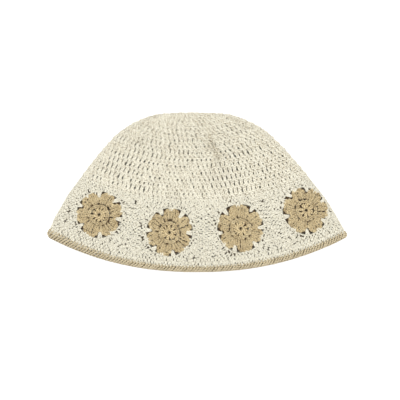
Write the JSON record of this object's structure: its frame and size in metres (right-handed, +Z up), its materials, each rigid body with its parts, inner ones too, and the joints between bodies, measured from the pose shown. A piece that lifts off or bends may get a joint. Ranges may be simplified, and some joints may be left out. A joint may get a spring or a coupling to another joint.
{
  "type": "crocheted bucket hat",
  "caption": "Soft crocheted bucket hat lying on its side: domed cream crown, band of cream squares with tan flowers, and a tan edging round the flared brim.",
  "frame": {"origin": "middle of the footprint of the lying hat, on the surface it lies on", "axes": "+X along the flattened brim to the right, +Y from the brim to the crown, +Z up from the surface"},
  "size_m": [0.3449, 0.1829, 0.0486],
  "materials": {
    "cream_cotton": "matte crocheted cotton yarn",
    "tan_cotton": "matte crocheted cotton yarn"
  },
  "bodies": {
    "root": {"crown": "cream_cotton", "square_1": "cream_cotton", "square_2": "cream_cotton", "square_3": "cream_cotton", "square_4": "cream_cotton", "square_5": "cream_cotton", "square_6": "cream_cotton", "square_7": "cream_cotton", "square_8": "cream_cotton", "flower_1": "tan_cotton", "flower_2": "tan_cotton", "flower_3": "tan_cotton", "flower_4": "tan_cotton", "flower_5": "tan_cotton", "flower_6": "tan_cotton", "flower_7": "tan_cotton", "flower_8": "tan_cotton", "brim_round": "cream_cotton", "edging": "tan_cotton"}
  },
  "joints": []
}
